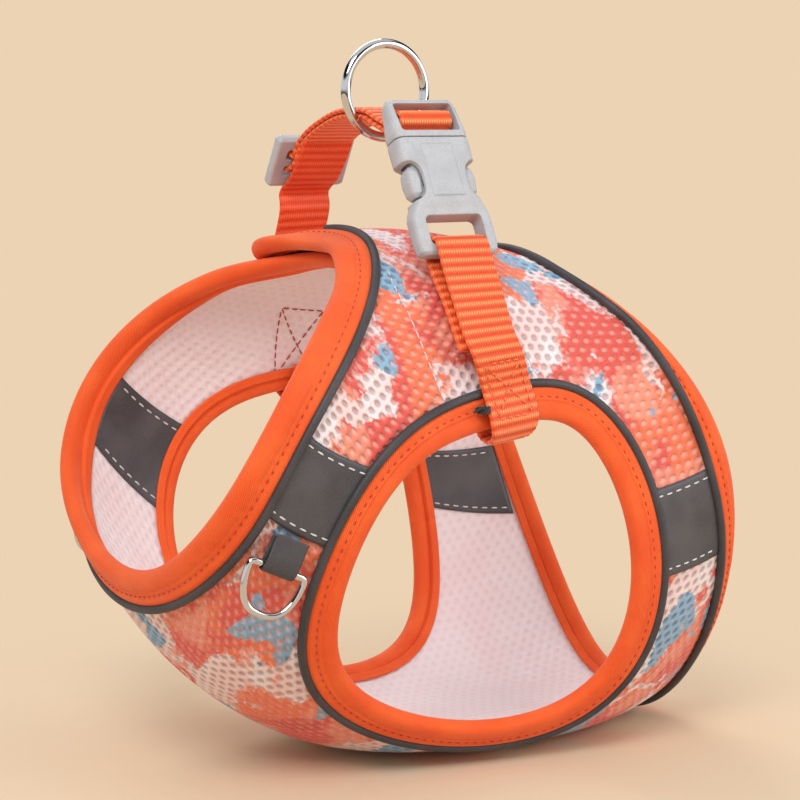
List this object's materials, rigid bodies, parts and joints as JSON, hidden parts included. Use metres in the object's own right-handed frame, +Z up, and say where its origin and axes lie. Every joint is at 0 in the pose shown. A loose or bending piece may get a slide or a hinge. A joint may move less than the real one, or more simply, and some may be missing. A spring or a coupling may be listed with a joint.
{
  "type": "no pull harness",
  "caption": "Step-in mesh vest harness for a small dog with padded bindings, an overlapping back closure, and a buckled back strap with leash rings.",
  "frame": {"origin": "centre of the bounding box in X and Y, at its lowest point in Z: the harness rests on its belly panel", "axes": "+Z up, the wearer faces -X (neck opening), its left side is at -Y"},
  "size_m": [0.2039, 0.1378, 0.2277],
  "materials": {
    "printed_mesh": "raised air mesh printed in coral, orange, pale pink and light blue patches",
    "lining_mesh": "pale pink fine air mesh",
    "hook_and_loop": "matt hook-and-loop tape",
    "orange_binding": "soft padded knit tape",
    "grey_piping": "dark grey reflective cord",
    "reflective_strip": "dark grey satin reflective tape",
    "orange_webbing": "ribbed polyester webbing with a slight sheen",
    "grey_plastic": "fine textured matt",
    "chrome_wire": "polished"
  },
  "bodies": {
    "vest": {"left_mesh_panel": "printed_mesh", "right_mesh_panel": "printed_mesh", "left_lining": "lining_mesh", "right_lining": "lining_mesh", "hook_patch": "hook_and_loop", "loop_patch": "hook_and_loop", "neck_binding": "orange_binding", "waist_binding": "orange_binding", "left_armhole_binding": "orange_binding", "right_armhole_binding": "orange_binding", "left_flap_binding": "orange_binding", "right_flap_binding": "orange_binding", "neck_piping": "grey_piping", "waist_piping": "grey_piping", "left_armhole_piping": "grey_piping", "right_armhole_piping": "grey_piping", "left_front_strip": "reflective_strip", "left_rear_strip": "reflective_strip", "right_front_strip": "reflective_strip", "right_rear_strip": "reflective_strip", "left_ring_tab": "reflective_strip", "right_ring_tab": "reflective_strip", "near_strap_loop": "orange_webbing", "near_strap_end": "orange_webbing", "far_strap": "orange_webbing", "buckle_socket": "grey_plastic"},
    "plug": {"buckle_plug": "grey_plastic", "top_strap": "orange_webbing"},
    "front_prong": {"front_prong": "grey_plastic"},
    "rear_prong": {"rear_prong": "grey_plastic"},
    "o_ring": {"o_ring": "chrome_wire"},
    "slider": {"slider": "grey_plastic"},
    "left_d_ring": {"left_d_ring": "chrome_wire"},
    "right_d_ring": {"right_d_ring": "chrome_wire"}
  },
  "joints": [
    {"name": "buckle_release", "type": "slide", "parent": "vest", "child": "plug", "axis": [0, 0.4586, 0.8886], "range_m": [0, 0.024], "deforming": ["far_strap"]},
    {"name": "front_prong_squeeze", "type": "hinge", "parent": "plug", "child": "front_prong", "pos_m": [-0.01512, -0.02761, 0.19462], "axis": [0, -0.8886, 0.4586], "range_deg": [0, 8], "stiffness_Nm_per_rad": 0.4},
    {"name": "rear_prong_squeeze", "type": "hinge", "parent": "plug", "child": "rear_prong", "pos_m": [0.00008, -0.02761, 0.19462], "axis": [0, 0.8886, -0.4586], "range_deg": [0, 8], "stiffness_Nm_per_rad": 0.4},
    {"name": "o_ring_swing", "type": "hinge", "parent": "plug", "child": "o_ring", "pos_m": [-0.00752, -0.003, 0.2045], "axis": [1, 0, 0], "range_deg": [-50, 20]},
    {"name": "strap_adjust", "type": "slide", "parent": "plug", "child": "slider", "axis": [0, -0.8583, 0.5132], "range_m": [0, 0.012], "deforming": ["top_strap"]},
    {"name": "left_d_ring_swing", "type": "hinge", "parent": "vest", "child": "left_d_ring", "pos_m": [-0.07844, -0.05787, 0.07556], "axis": [-0.8992, 0.1633, 0.406], "range_deg": [-10, 100]},
    {"name": "right_d_ring_swing", "type": "hinge", "parent": "vest", "child": "right_d_ring", "pos_m": [-0.07844, 0.05787, 0.07556], "axis": [0.8992, 0.1633, -0.406], "range_deg": [-10, 100]}
  ],
  "couplings": [
    {"joint": "rear_prong_squeeze", "follows": "front_prong_squeeze", "ratio": 1}
  ]
}
